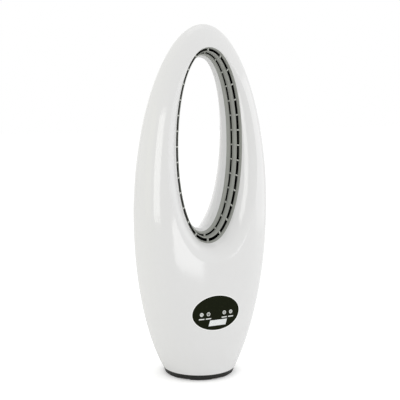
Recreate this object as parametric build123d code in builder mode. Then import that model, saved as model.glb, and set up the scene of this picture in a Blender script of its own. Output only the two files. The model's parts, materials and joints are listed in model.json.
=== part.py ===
from build123d import *
from functools import cache
from math import atan2, cos, degrees, hypot, pi, radians, sin, sqrt
import os

os.makedirs("parts", exist_ok=True)

# A free-standing bladeless fan: an egg-shaped white tower with a tall oval outlet loop,
# turning on a low round black base.  Millimetres, Z up, the front faces -Y, and the
# origin is the centre of the circle that the feet stand on.

# ---------------------------------------------------------------- driving sizes: tower shape
total_height = 600.0          # floor to the crown of the loop
tower_bottom = 10.2           # lower edge of the white shells
tower_foot_radius = 63.5      # the shells are round where they meet the base
half_width = 118.0            # widest half-width, seen from the front
widest_height = 290.0
front_depth = 67.0            # deepest reach of the front half from the parting line
rear_depth = 68.2
deepest_height = 118.0
crown_lean = 17.0             # how far the crown leans forward
lean_power = 2.5
front_fullness = 1.3          # how much squarer than an ellipse the sections get
rear_fullness = 0.4
outline_points = 24
body_sections = 13
crown_start = 490.0
crown_drops = (75.0, 45.0, 25.0, 12.0, 5.0, 1.4)
shell_wall = 2.5
mouth_overrun = 18.0          # how far the mouth cutters run past the tower's surface
part_gap = 0.2                # working gap between pieces that don't move on each other

# ---------------------------------------------------------------- driving sizes: outlet loop
rim_half_width = 61.9         # oval edge where the white shell meets the grey band
rim_half_height = 164.0
rim_centre_height = 396.9
rim_y = -40.5
oval_power = 2.1
throat_inset = 17.9           # how much narrower the throat is than the rim, all round
throat_y = -2.4
throat_rise = 2.6             # the throat's centre sits this much higher than the rim's
lip_side_reach = 40.0         # rolled front lip: how far it runs out, and forward
lip_bottom_reach = 35.0
lip_top_reach = 20.0
lip_bottom_depth = 27.0
lip_top_depth = 3.4
flare_side_reach = 36.0       # rear flare behind the throat
flare_bottom_reach = 50.0
flare_top_reach = 22.0
flare_bottom_depth = 70.5
flare_top_depth = 14.5

# ---------------------------------------------------------------- driving sizes: grey outlet band
bevel_inset = 2.2
bevel_length = 4.6
front_slot_width = 4.0
rear_slot_width = 2.4
vane_wall = 1.6
vane_front_y = -33.8
vane_rear_y = -20.8
vane_taper = 0.7
rear_band_front_y = -19.4
rear_band_rear_y = -10.4
vane_outer_inset = bevel_inset + front_slot_width
lip_front_inset = 14.1
rib_count = 28
rib_width = 2.0
rib_depth = 4.6
rim_flange_length = 6.6
band_joint = 0.1              # face joints between the white parts and the grey band

# ---------------------------------------------------------------- driving sizes: base
foot_height = 2.4
foot_groove_depth = 0.9
foot_ring_radius = 54.5
foot_ring_width = 7.0
foot_count = 6
foot_arc = 34.0
foot_turn = -112.5            # the feet are turned so that one lies left of the front
base_bottom = foot_height - foot_groove_depth
base_top = 9.7
base_top_radius = 63.0
base_bottom_radius = 60.0
base_wall = 2.6
base_floor = 2.0
base_cover_thickness = 1.6
cover_radius = 60.6
cavity_floor = base_bottom + base_floor
cover_bottom = base_top - base_cover_thickness
base_screw_circle = 30.0
base_screw_count = 4
base_screw_turn = 45.0
base_screw_radius = 1.4
base_screw_length = 5.2
base_head_radius = 2.6
base_head_height = 1.5
base_boss_radius = 4.2
base_boss_split = 5.6
base_head_seat = base_bottom + base_head_height + 0.3
ballast_outer_radius = 50.0
ballast_inner_radius = 16.0
ballast_thickness = 4.2
cord_bore_radius = 2.2
gland_radius = 2.9
gland_flange_radius = 3.3
gland_flange_thickness = 1.2
gland_height = 5.7
gland_inner_y = 53.9

# ---------------------------------------------------------------- driving sizes: swivel and turntable
post_outer_radius = 9.0
post_inner_radius = 5.5
post_flange_radius = 13.0
post_flange_thickness = 1.6
post_top = 27.0
post_screw_circle = 11.0
post_screw_count = 3
post_screw_turn = -90.0
post_screw_radius = 1.1
post_screw_length = 6.0
swivel_clearance = 0.08
thrust_gap = 0.1
thrust_inner_radius = 44.0
thrust_outer_radius = 50.0
turntable_bottom = 11.3
turntable_flange_top = 13.8
turntable_radius = 60.6
turntable_wall = 2.5
step_radius = 40.5
step_top = 19.0
hub_radius = 13.0
hub_bottom = 14.0
hub_top = 21.0
washer_radius = 12.0
clip_bottom = 22.2
clip_top = 23.4
clip_groove_radius = 7.6
clip_radius = 11.5
table_screw_circle = 56.5
table_screw_radius = 1.4
table_screw_length = 7.5
table_head_radius = 2.4
table_head_height = 1.4
screw_bite = 0.05             # clearance of a screw thread in its own hole

# ---------------------------------------------------------------- driving sizes: swing drive
gear_module = 0.8
sun_teeth = 50
pinion_teeth = 12
gear_height = 4.0
gear_backlash = 0.34
mesh_slack = 0.15
gear_centre = gear_module * (sun_teeth + pinion_teeth) / 2 + mesh_slack
pinion_lift = 0.4
drive_shaft_radius = 2.0
drive_shaft_top = 30.0
stepper_radius = 14.0
stepper_y = 33.0
stepper_top = 38.0
motor_boss_radius = 4.1
ear_reach = 17.5
ear_width = 7.0
ear_thickness = 0.9
ear_screw_radius = 1.3

# ---------------------------------------------------------------- driving sizes: power board
board_half_width = 34.0
board_front_y = -48.0
board_rear_y = -15.0
board_bottom = 22.0
board_thickness = 1.6
board_post_radius = 2.6
board_post_x = 28.0
board_post_front_y = -43.0
board_post_rear_y = -20.0

# ---------------------------------------------------------------- driving sizes: blower
housing_radius = 44.0
housing_wall = 2.0
housing_bottom = 86.0
housing_top = 151.0
bell_flare = 7.0
flange_radius = 54.0
flange_thickness = 2.0
flange_screw_circle = 50.5
flange_screw_count = 6
bulkhead_thickness = 2.5
gasket_thickness = 1.5
impeller_tip_gap = 0.8
impeller_bottom = 101.0
impeller_top = 124.0
impeller_blades = 9
hub_bottom_radius = 12.0
hub_top_radius = 18.0
blade_chord = 25.0
blade_thickness = 1.6
blade_hub_pitch = 52.0
blade_tip_pitch = 30.0
shaft_radius = 2.5
stator_bottom = 126.0
stator_top = 150.0
stator_vanes = 7
stator_wall = 1.5
motor_radius = 16.4
motor_wall = 1.2
motor_bottom = 127.5
motor_top = 146.5
damper_thickness = 2.1
rotor_radius = 9.0
rotor_gap = 0.5
cone_top = 168.0
funnel_top = 199.0
funnel_wall = 2.0
funnel_half_width = 82.0
funnel_half_depth = 42.0

# ---------------------------------------------------------------- driving sizes: duct lining
duct_inset = 3.0
duct_wall = 1.4
duct_opening = 1.2            # the lining's front edge lies this far outside the rim, round the collar
duct_floor = 198.0
duct_floor_thickness = 2.0
bulkhead_inset = 2.9

# ---------------------------------------------------------------- driving sizes: shell joints
boss_inset = 0.5
table_boss_radius = 4.0
table_boss_height = 14.0
joint_spots = ((-60.0, 60.0), (60.0, 60.0), (-80.0, 180.0), (80.0, 180.0))
joint_boss_radius = 4.6
joint_pocket_radius = 3.2
joint_pocket_y = 14.0
joint_screw_radius = 1.5
joint_screw_length = 24.0
joint_head_radius = 2.8
joint_head_height = 1.8
parting_gap = 0.2
rim_flange_wall = 0.8
lip_ring_wall = 2.0
lip_zone_margin = 0.7         # free space round the white lip's ring in the parting cut
lip_zone_depth = 6.0

# ---------------------------------------------------------------- driving sizes: air intake
intake_width = 96.0
intake_tall = 84.0
intake_height = 98.0
intake_corner = 22.0
intake_gap = 0.25
intake_bar = 3.2
intake_slot = 3.6
intake_frame = 6.0
filter_inset = 3.2
filter_thickness = 2.4

# ---------------------------------------------------------------- driving sizes: control panel
panel_half_width = 43.7
panel_half_height = 29.2
panel_height = 118.3
panel_gap = 0.25
tray_inset = 2.6
tray_wall = 1.8
tray_overlap = 3.0
touch_key_spots = (-27.4, -14.9, 14.9, 27.4)
touch_key_drop = 0.8
touch_pad_radius = 4.0
control_board_y = -58.6
control_board_half_width = 37.0
control_board_half_height = 19.0
tray_post_x = 32.0
tray_post_z = 14.0
badge_half_length = 16.0
badge_half_height = 4.9
badge_slant = 3.0
badge_height = 101.4
badge_x = 2.6
badge_thickness = 0.3


# ================================================================ tower outline
def lean_at(z):
    return -crown_lean * (z / total_height) ** lean_power


def half_ellipse(z, centre, peak, foot, inset):
    """Half-width at height z of an egg outline cut off at the tower's foot."""
    if z >= centre:
        share = (z - centre) / (total_height - inset - centre)
        return (peak - inset) * sqrt(max(0.0, 1 - share * share))
    depth_below = (centre - tower_bottom) / sqrt(1 - (foot / peak) ** 2)
    share = (centre - z) / depth_below
    return peak * sqrt(1 - share * share) - inset


def hull_outline(z, inset):
    """Points round the tower's section at height z, starting at the middle of the rear."""
    rise = sin(pi * (z - tower_bottom) / (total_height - tower_bottom))
    wide = half_ellipse(z, widest_height, half_width, tower_foot_radius, inset)
    points = []
    for step in range(outline_points):
        turn = pi / 2 + 2 * pi * step / outline_points
        rear = sin(turn) > 0
        deep = half_ellipse(z, deepest_height, rear_depth if rear else front_depth, tower_foot_radius, inset)
        power = 2 + (rear_fullness if rear else front_fullness) * rise
        across = wide * abs(cos(turn)) ** (2 / power) * (1 if cos(turn) > 0 else -1)
        along = deep * abs(sin(turn)) ** (2 / power) * (1 if rear else -1)
        points.append((across, lean_at(z) + along))
    return points


def hull_heights(inset):
    """Section heights: evenly spaced up the body, then closer together to the crown."""
    pitch = (crown_start - tower_bottom) / (body_sections - 1)
    body = [tower_bottom + pitch * k for k in range(body_sections)]
    return body + [total_height - inset - drop for drop in crown_drops]


@cache
def hull(inset):
    sections = []
    for z in hull_heights(inset):
        with BuildSketch(Plane.XY.offset(z)) as section:
            with BuildLine():
                Spline(*hull_outline(z, inset), periodic=True)
            make_face()
        sections.append(section.sketch)
    with BuildPart() as body:
        loft(sections=sections + [Vertex(0, lean_at(total_height), total_height - inset)])
    return body.part


# ================================================================ oval sections of the loop
def power_curve(turn, across, tall):
    """Point of the rounded oval at angle turn, 0 at +X and a quarter turn at the top."""
    reach_x = across * abs(cos(turn)) ** (2 / oval_power) * (1 if cos(turn) >= 0 else -1)
    reach_z = tall * abs(sin(turn)) ** (2 / oval_power) * (1 if sin(turn) >= 0 else -1)
    return reach_x, reach_z


def oval(bottom, top, across):
    """Oval face through its lowest and highest point, both given as (y, z)."""
    tall = hypot(top[0] - bottom[0], top[1] - bottom[1]) / 2
    middle = (0, (top[0] + bottom[0]) / 2, (top[1] + bottom[1]) / 2)
    plane = Plane(origin=middle, x_dir=(1, 0, 0), z_dir=(0, bottom[1] - top[1], top[0] - bottom[0]))
    with BuildSketch(plane) as face:
        with BuildLine():
            Spline(*[power_curve(2 * pi * k / 24, across, tall) for k in range(24)], periodic=True)
        make_face()
    return face.sketch


def band_oval(inset, y):
    """Oval of the outlet band, inset from the rim, in the upright plane at y."""
    centre = rim_centre_height + throat_rise * inset / throat_inset
    tall = rim_half_height - inset
    return oval((y, centre - tall), (y, centre + tall), rim_half_width - inset)


def band_point(inset, y, turn):
    centre = rim_centre_height + throat_rise * inset / throat_inset
    reach_x, reach_z = power_curve(turn, rim_half_width - inset, rim_half_height - inset)
    return Vector(reach_x, y, centre + reach_z)


def band_tube(stations):
    """Solid through band ovals, each given as (inset, y)."""
    sections = [band_oval(inset, y) for inset, y in stations]
    with BuildPart() as tube:
        loft(sections=sections, ruled=True)
    return tube.part


# ================================================================ openings in the tower
lip_steps = (70, 62, 52, 40, 26, 12, 0)
flare_steps = (90, 76, 60, 44, 28, 13, 0)


def rolled(reach, depth, start, angle, skin):
    """Run-out and depth of a rolled edge at angle, with skin added on its far side."""
    full = 1 - cos(radians(start))
    out = reach * (1 - sin(radians(angle)) / sin(radians(start)))
    deep = depth * (cos(radians(angle)) - cos(radians(start))) / full
    slope_out = reach * cos(radians(angle)) / sin(radians(start))
    slope_deep = depth * sin(radians(angle)) / full
    size = hypot(slope_out, slope_deep)
    return out + skin * slope_deep / size, deep - skin * slope_out / size


def rolled_mouth(rim, y, facing, steps, reaches, depths, skin):
    """Cutters for one face of the loop: the rolled mouth and the space beyond it."""
    across, tall, centre = rim
    side_depth = (depths[0] + depths[1]) / 2
    sections = []
    for angle in steps:
        low_out, low_deep = rolled(reaches[0], depths[0], steps[0], angle, skin)
        top_out, top_deep = rolled(reaches[1], depths[1], steps[0], angle, skin)
        side_out, _ = rolled(reaches[2], side_depth, steps[0], angle, skin)
        low = (y + facing * low_deep, centre - tall - low_out)
        top = (y + facing * top_deep, centre + tall + top_out)
        sections.append(oval(low, top, across + side_out))
    with BuildPart() as mouth:
        loft(sections=sections)
    with BuildPart() as beyond:
        extrude(sections[-1], amount=-mouth_overrun * facing)
    return [beyond.part, mouth.part]


@cache
def front_mouth(skin):
    rim = (rim_half_width, rim_half_height, rim_centre_height)
    reaches = (lip_bottom_reach, lip_top_reach, lip_side_reach)
    return rolled_mouth(rim, rim_y, -1, lip_steps, reaches, (lip_bottom_depth, lip_top_depth), skin)


@cache
def rear_mouth(skin):
    rim = (rim_half_width - throat_inset, rim_half_height - throat_inset, rim_centre_height + throat_rise)
    reaches = (flare_bottom_reach, flare_top_reach, flare_side_reach)
    return rolled_mouth(rim, throat_y, 1, flare_steps, reaches, (flare_bottom_depth, flare_top_depth), skin)


def rear_neck(skin, lip_wall):
    """Cutter for the white lip between the grey band and the throat."""
    tall = rim_half_height - throat_inset + skin
    centre = rim_centre_height + throat_rise
    throat = oval((throat_y, centre - tall), (throat_y, centre + tall), rim_half_width - throat_inset + skin)
    front = band_oval(lip_front_inset - lip_wall, rear_band_rear_y + band_joint)
    with BuildPart() as neck:
        loft(sections=[front, throat], ruled=True)
    return neck.part


# ================================================================ shared helpers
def keep(piece, name):
    piece.label = name
    export_step(piece, f"parts/{name}.step")


def tower_space(inset, low, high):
    """The part of the inset tower outline between two heights."""
    with BuildPart() as space:
        add(hull(inset))
        with Locations((0, 0, (low + high) / 2)):
            Box(3 * half_width, 3 * half_width, high - low, mode=Mode.INTERSECT)
    return space.part


def disc(radius, low, high, bore=0.0, centre=(0.0, 0.0)):
    """Upright disc or ring between two heights."""
    with BuildPart() as ring:
        with BuildSketch(Plane.XY.offset(low)):
            with Locations(centre):
                Circle(radius)
                if bore:
                    Circle(bore, mode=Mode.SUBTRACT)
        extrude(amount=high - low)
    return ring.part


def drill(radius, low, high, spot=(0.0, 0.0)):
    """Cut an upright round hole between two heights out of the piece being built."""
    add(disc(radius, low, high, 0.0, spot), mode=Mode.SUBTRACT)


def level_rod(radius, x, z, y_from, y_to):
    """Rod along Y through (x, z)."""
    with BuildPart() as rod:
        with BuildSketch(Plane.XZ.offset(-y_from)):
            with Locations((x, z)):
                Circle(radius)
        extrude(amount=y_from - y_to)
    return rod.part


def ring_spots(radius, count, first):
    """Points spread evenly round the vertical axis."""
    turns = [radians(first + 360 / count * k) for k in range(count)]
    return [(radius * cos(turn), radius * sin(turn)) for turn in turns]


def skin_piece(outer, inner, outline, side):
    """Curved plate of the tower's wall between two insets, cut out by an outline seen along Y."""
    with BuildPart() as plate:
        with BuildSketch(Plane.XZ):
            add(outline)
        extrude(amount=-side * half_width)
        add(hull(outer), mode=Mode.INTERSECT)
        add(hull(inner), mode=Mode.SUBTRACT)
    return plate.part


def panel_outline(grow):
    with BuildSketch() as outline:
        with Locations((0, panel_height)):
            Ellipse(panel_half_width + grow, panel_half_height + grow)
    return outline.sketch


def intake_outline(grow):
    with BuildSketch() as outline:
        with Locations((0, intake_height)):
            RectangleRounded(intake_width + 2 * grow, intake_tall + 2 * grow, intake_corner + grow)
    return outline.sketch


def rear_half_space(shift):
    """Everything behind the parting line, moved back by shift."""
    heights = [total_height * k / 12 for k in range(14)]
    line = [(lean_at(z) + shift, z) for z in heights]
    far = 2 * half_width
    with BuildPart() as space:
        with BuildSketch(Plane.YZ.offset(-far)):
            with BuildLine():
                Spline(*line)
                Polyline(line[-1], (far, heights[-1]), (far, 0), line[0])
            make_face()
        extrude(amount=2 * far)
    return space.part


# ================================================================ base
def taper_radius(z):
    """Outer radius of the base's sloping wall."""
    share = (z - base_bottom) / (base_top - base_bottom)
    return base_bottom_radius + share * (base_top_radius - base_bottom_radius)


def base_screw_spots():
    return ring_spots(base_screw_circle, base_screw_count, base_screw_turn)


def post_screw_spots():
    return ring_spots(post_screw_circle, post_screw_count, post_screw_turn)


def table_screw_spots():
    return ring_spots(table_screw_circle, 4, 45)


def board_post_spots():
    return [(x, y) for x in (-board_post_x, board_post_x) for y in (board_post_front_y, board_post_rear_y)]


def gland_space():
    """Room for the cord gland, from inside the base out through its wall."""
    flange_end = gland_inner_y + gland_flange_thickness + screw_bite
    with BuildPart() as space:
        add(level_rod(gland_radius + screw_bite, 0, gland_height, ballast_outer_radius, base_top_radius))
        add(level_rod(gland_flange_radius + screw_bite, 0, gland_height, ballast_outer_radius, flange_end))
    return space.part


def make_base_plate():
    inner_low = taper_radius(cavity_floor) - base_wall
    inner_high = taper_radius(cover_bottom) - base_wall
    with BuildPart() as plate:
        with BuildSketch(Plane.XZ):
            with BuildLine():
                Polyline(
                    (post_inner_radius, base_bottom),
                    (base_bottom_radius, base_bottom),
                    (base_top_radius, base_top),
                    (cover_radius + part_gap, base_top),
                    (cover_radius + part_gap, cover_bottom),
                    (inner_high, cover_bottom),
                    (inner_low, cavity_floor),
                    (post_flange_radius, cavity_floor),
                    (post_flange_radius, cover_bottom),
                    (post_inner_radius, cover_bottom),
                    close=True,
                )
            make_face()
        revolve(axis=Axis.Z)
        fillet(plate.edges().filter_by(GeomType.CIRCLE).group_by(Axis.Z)[0].sort_by(SortBy.RADIUS)[-1], 1.0)
        with BuildSketch(Plane.XY.offset(cavity_floor)):
            with Locations(*base_screw_spots()):
                Circle(base_boss_radius)
        extrude(amount=base_boss_split - cavity_floor)
        for x, y in base_screw_spots():
            drill(base_screw_radius + part_gap, base_bottom, base_boss_split, (x, y))
            drill(base_head_radius + part_gap, base_bottom, base_head_seat, (x, y))
        for x, y in post_screw_spots():
            drill(post_screw_radius + screw_bite, cavity_floor, cover_bottom, (x, y))
        with BuildSketch(Plane.XY.offset(base_bottom)):
            for k in range(foot_count):
                start = foot_turn + 360 / foot_count * k - foot_arc / 2
                SlotArc(CenterArc((0, 0), foot_ring_radius, start, foot_arc), foot_ring_width)
        extrude(amount=foot_groove_depth, mode=Mode.SUBTRACT)
        add(gland_space(), mode=Mode.SUBTRACT)
    keep(plate.part, "base_plate")


def make_feet():
    with BuildPart() as feet:
        with BuildSketch():
            for k in range(foot_count):
                start = foot_turn + 360 / foot_count * k - foot_arc / 2
                SlotArc(CenterArc((0, 0), foot_ring_radius, start, foot_arc), foot_ring_width - part_gap)
        extrude(amount=foot_height - 0.02)
        fillet(feet.edges().group_by(Axis.Z)[0], 0.6)
    keep(feet.part, "rubber_feet")


def make_ballast():
    with BuildPart() as ballast:
        with BuildSketch(Plane.XY.offset(cavity_floor)):
            Circle(ballast_outer_radius)
            Circle(ballast_inner_radius, mode=Mode.SUBTRACT)
            with Locations(*base_screw_spots()):
                Circle(base_boss_radius + part_gap, mode=Mode.SUBTRACT)
            with Locations((0, (ballast_inner_radius + ballast_outer_radius) / 2)):
                Rectangle(2 * gland_radius, 2 * ballast_outer_radius, mode=Mode.SUBTRACT)
        extrude(amount=ballast_thickness)
    keep(ballast.part, "ballast_plate")


def make_base_cover():
    with BuildPart() as cover:
        with BuildSketch(Plane.XY.offset(cover_bottom)):
            Circle(cover_radius)
            Circle(post_inner_radius, mode=Mode.SUBTRACT)
        extrude(amount=base_cover_thickness)
        with BuildSketch(Plane.XY.offset(base_boss_split)):
            with Locations(*base_screw_spots()):
                Circle(base_boss_radius)
        extrude(amount=cover_bottom - base_boss_split)
        with BuildSketch(Plane.XY.offset(base_boss_split)):
            with Locations(*base_screw_spots()):
                Circle(base_screw_radius + screw_bite)
        extrude(amount=base_head_seat + base_screw_length + 0.2 - base_boss_split, mode=Mode.SUBTRACT)
        with BuildSketch(Plane.XY.offset(cover_bottom)):
            with Locations(*post_screw_spots()):
                Circle(post_screw_radius + screw_bite)
        extrude(amount=base_cover_thickness, mode=Mode.SUBTRACT)
        add(gland_space(), mode=Mode.SUBTRACT)
    keep(cover.part, "base_cover")


def screw(head_radius, head_height, shank_radius, length):
    """Pan-head screw pointing down from its head's seat at the origin, with a cross recess."""
    with BuildPart() as piece:
        with BuildSketch():
            Circle(head_radius)
        extrude(amount=head_height)
        fillet(piece.edges().group_by(Axis.Z)[-1], head_height * 0.45)
        with BuildSketch(Plane.XY.offset(-length)):
            Circle(shank_radius)
        extrude(amount=length)
        with BuildSketch(Plane.XY.offset(head_height)):
            Rectangle(head_radius * 1.1, head_radius * 0.28)
            Rectangle(head_radius * 0.28, head_radius * 1.1)
        extrude(amount=-head_height * 0.45, mode=Mode.SUBTRACT)
    return piece.part


def screw_group(name, size, spots):
    """Identical screws at Locations."""
    blank = screw(*size)
    with BuildPart() as group:
        with Locations(*spots):
            add(blank)
    keep(group.part, name)


def make_gland():
    outer_end = taper_radius(gland_height) + 0.6
    flange_end = gland_inner_y + gland_flange_thickness
    with BuildPart() as gland:
        add(level_rod(gland_radius, 0, gland_height, gland_inner_y, outer_end))
        add(level_rod(gland_flange_radius, 0, gland_height, gland_inner_y, flange_end))
        add(level_rod(cord_bore_radius, 0, gland_height, gland_inner_y, outer_end), mode=Mode.SUBTRACT)
    keep(gland.part, "cord_gland")


# ================================================================ swivel and swing drive
def gear_outline(teeth, backlash):
    """Involute tooth points of a spur gear, the first tooth centred on +X."""
    pitch_radius = gear_module * teeth / 2
    base_radius = pitch_radius * cos(radians(20))
    root = pitch_radius - 1.25 * gear_module
    tip = pitch_radius + gear_module

    def spread(radius):
        if radius <= base_radius:
            return 0.0
        slope = sqrt((radius / base_radius) ** 2 - 1)
        return slope - atan2(slope, 1)

    half_pitch = pi / (2 * teeth) - backlash / (2 * pitch_radius) + spread(pitch_radius)
    flank = [root] + [max(root, base_radius) + (tip - max(root, base_radius)) * k / 4 for k in range(5)]
    points = []
    for tooth in range(teeth):
        middle = 2 * pi * tooth / teeth
        for side, radii in ((-1, flank), (1, flank[::-1])):
            for radius in radii:
                turn = middle + side * (half_pitch - spread(radius))
                points.append((radius * cos(turn), radius * sin(turn)))
    return points


def gear_blank(teeth, backlash, turn, bore, low, high, centre):
    outline = gear_outline(teeth, backlash)
    with BuildPart() as gear:
        with BuildSketch(Plane(origin=(centre[0], centre[1], low), x_dir=(cos(turn), sin(turn), 0))):
            Polygon(*outline, align=None)
            Circle(bore, mode=Mode.SUBTRACT)
        extrude(amount=high - low)
    return gear.part


def make_swivel():
    post_seat = base_top + post_flange_thickness
    with BuildPart() as post:
        add(disc(post_flange_radius, base_top, post_seat))
        add(disc(post_outer_radius, base_top, post_top))
        drill(post_inner_radius, base_top, post_top)
        add(disc(post_outer_radius + 1, clip_bottom, clip_top, clip_groove_radius), mode=Mode.SUBTRACT)
        for x, y in post_screw_spots():
            drill(post_screw_radius + screw_bite, base_top, post_seat, (x, y))
    keep(post.part, "swivel_post")
    sun = gear_blank(sun_teeth, gear_backlash / 2, pi / 2, post_flange_radius + 0.1, base_top,
                     base_top + gear_height, (0, 0))
    keep(sun, "fixed_swing_gear")
    ring = disc(thrust_outer_radius, base_top, turntable_bottom - thrust_gap, thrust_inner_radius)
    keep(ring, "thrust_ring")
    washer = disc(washer_radius, hub_top + thrust_gap, clip_bottom, post_outer_radius + swivel_clearance)
    keep(washer, "post_washer")
    with BuildPart() as clip:
        add(disc(clip_radius, clip_bottom, clip_top, clip_groove_radius))
        with BuildSketch(Plane.XY.offset(clip_bottom)):
            with Locations((0, -clip_radius)):
                Rectangle(1.3 * clip_groove_radius, 2 * clip_radius)
        extrude(amount=clip_top - clip_bottom, mode=Mode.SUBTRACT)
    keep(clip.part, "retaining_clip")
    spots = [Location((x, y, post_seat)) for x, y in post_screw_spots()]
    screw_group("post_screws", (1.8, 1.2, post_screw_radius, post_screw_length), spots)
    seat = turntable_bottom + table_head_height + part_gap / 2
    spots = [Location((x, y, seat), (180, 0, 0)) for x, y in table_screw_spots()]
    size = (table_head_radius, table_head_height, table_screw_radius, table_screw_length)
    screw_group("turntable_screws", size, spots)
    spots = [Location((x, y, base_head_seat), (180, 0, 0)) for x, y in base_screw_spots()]
    size = (base_head_radius, base_head_height, base_screw_radius, base_screw_length)
    screw_group("base_screws", size, spots)


def make_turntable():
    table_under = step_top - turntable_wall
    with BuildPart() as table:
        add(disc(turntable_radius, turntable_bottom, turntable_flange_top))
        add(disc(step_radius, turntable_bottom, step_top))
        drill(step_radius - turntable_wall, turntable_bottom, step_top - turntable_wall)
        add(disc(hub_radius, hub_bottom, hub_top))
        drill(post_outer_radius + swivel_clearance, hub_bottom, hub_top)
        drill(motor_boss_radius + part_gap, table_under, step_top, (0, gear_centre))
        for x in (-ear_reach, ear_reach):
            drill(ear_screw_radius + screw_bite, table_under, step_top, (x, stepper_y))
        for x, y in board_post_spots():
            foot = step_top if hypot(x, y) < step_radius else turntable_flange_top
            add(disc(board_post_radius, foot - 0.5, board_bottom, 0, (x, y)))
            drill(ear_screw_radius + screw_bite, foot, board_bottom, (x, y))
        for x, y in table_screw_spots():
            drill(table_screw_radius + part_gap, turntable_bottom, turntable_flange_top, (x, y))
            head_room = table_head_height + part_gap / 2
            drill(table_head_radius + part_gap, turntable_bottom, turntable_bottom + head_room, (x, y))
    keep(table.part, "turntable")


def make_swing_drive():
    drive = (0, gear_centre)
    with BuildPart() as pinion:
        add(gear_blank(pinion_teeth, gear_backlash / 2, -pi / 2 + pi / pinion_teeth, drive_shaft_radius,
                       base_top + pinion_lift, base_top + gear_height, drive))
    keep(pinion.part, "swing_pinion")
    shaft = disc(drive_shaft_radius, base_top + pinion_lift, drive_shaft_top, 0, drive)
    keep(shaft, "swing_motor_shaft")
    with BuildPart() as stepper:
        add(disc(stepper_radius, step_top, stepper_top, 0, (0, stepper_y)))
        fillet(stepper.edges().group_by(Axis.Z)[-1], 1.2)
        add(disc(motor_boss_radius, step_top - turntable_wall + 0.3, step_top + 0.2, 0, drive))
        with BuildSketch(Plane.XY.offset(step_top)):
            with Locations((0, stepper_y)):
                SlotCenterToCenter(2 * ear_reach, ear_width)
        extrude(amount=ear_thickness)
        drill(drive_shaft_radius + 0.06, step_top - turntable_wall, drive_shaft_top + 0.3, drive)
        for x in (-ear_reach, ear_reach):
            drill(ear_screw_radius + screw_bite, step_top, stepper_top, (x, stepper_y))
    keep(stepper.part, "swing_motor")
    seat = step_top + ear_thickness
    spots = [Location((x, stepper_y, seat)) for x in (-ear_reach, ear_reach)]
    screw_group("swing_motor_screws", (2.2, 1.4, ear_screw_radius, 3.0), spots)


# ================================================================ power board
def board_parts():
    with BuildPart() as board:
        with BuildSketch(Plane.XY.offset(board_bottom)):
            with Locations((0, (board_front_y + board_rear_y) / 2)):
                RectangleRounded(2 * board_half_width, board_rear_y - board_front_y, 2)
            with Locations(*board_post_spots()):
                Circle(ear_screw_radius + screw_bite, mode=Mode.SUBTRACT)
        extrude(amount=board_thickness)
    keep(board.part, "power_board")
    top = board_bottom + board_thickness
    with BuildPart() as loads:
        for x, radius, tall in ((-18, 6.3, 22), (-4, 5, 16)):
            with Locations((x, -33, top)):
                Cylinder(radius, tall, align=(Align.CENTER, Align.CENTER, Align.MIN))
        with Locations((14, -34, top)):
            Box(18, 16, 14, align=(Align.CENTER, Align.CENTER, Align.MIN))
        with Locations((8, -20, top), (18, -20, top)):
            Box(7, 5, 6, align=(Align.CENTER, Align.CENTER, Align.MIN))
        with Locations((-12, -21, top)):
            Box(14, 6, 5, align=(Align.CENTER, Align.CENTER, Align.MIN))
        round_edges = loads.edges().filter_by(GeomType.CIRCLE)
        fillet(round_edges.filter_by(lambda edge: edge.center().Z > top + 1), 0.8)
    keep(loads.part, "power_components")
    spots = [Location((x, y, top)) for x, y in board_post_spots()]
    screw_group("power_board_screws", (2.2, 1.4, ear_screw_radius, 4.0), spots)


# ================================================================ tower shells
def white_wall():
    """The whole white wall of the tower before it is parted into front and rear shells."""
    with BuildPart() as cavity:
        add(hull(shell_wall))
        for cutter in front_mouth(shell_wall) + rear_mouth(shell_wall):
            add(cutter, mode=Mode.SUBTRACT)
        add(rear_neck(shell_wall, lip_ring_wall), mode=Mode.SUBTRACT)
    with BuildPart() as wall:
        add(hull(0.0))
        for cutter in front_mouth(0.0) + rear_mouth(0.0):
            add(cutter, mode=Mode.SUBTRACT)
        add(rear_neck(0.0, 0.0), mode=Mode.SUBTRACT)
        add(cavity.part, mode=Mode.SUBTRACT)
        add(band_tube([(0, rim_y - 0.5), (0, rim_y + 6)]), mode=Mode.SUBTRACT)
    return wall.part


def table_boss(x, y):
    """Screw boss standing on the turntable, webbed to the wall behind it."""
    low = turntable_flange_top
    with BuildPart() as boss:
        add(disc(table_boss_radius, low, low + table_boss_height, 0, (x, y)))
        with BuildSketch(Plane.XY.offset(low)):
            with Locations(Location((1.07 * x, 1.07 * y), degrees(atan2(y, x)))):
                Rectangle(8, table_boss_radius)
        extrude(amount=table_boss_height)
        add(hull(boss_inset), mode=Mode.INTERSECT)
        drill(table_screw_radius + screw_bite, low, low + table_boss_height - 3, (x, y))
    return boss.part


def lip_zone(grow):
    """Space inside the loop that holds the whole white lip, which belongs to the rear shell."""
    inset = lip_front_inset - lip_ring_wall - lip_zone_margin - grow
    front = rear_band_rear_y - lip_zone_margin - grow
    return band_tube([(inset, front), (inset, throat_y + lip_zone_depth)])


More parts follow.
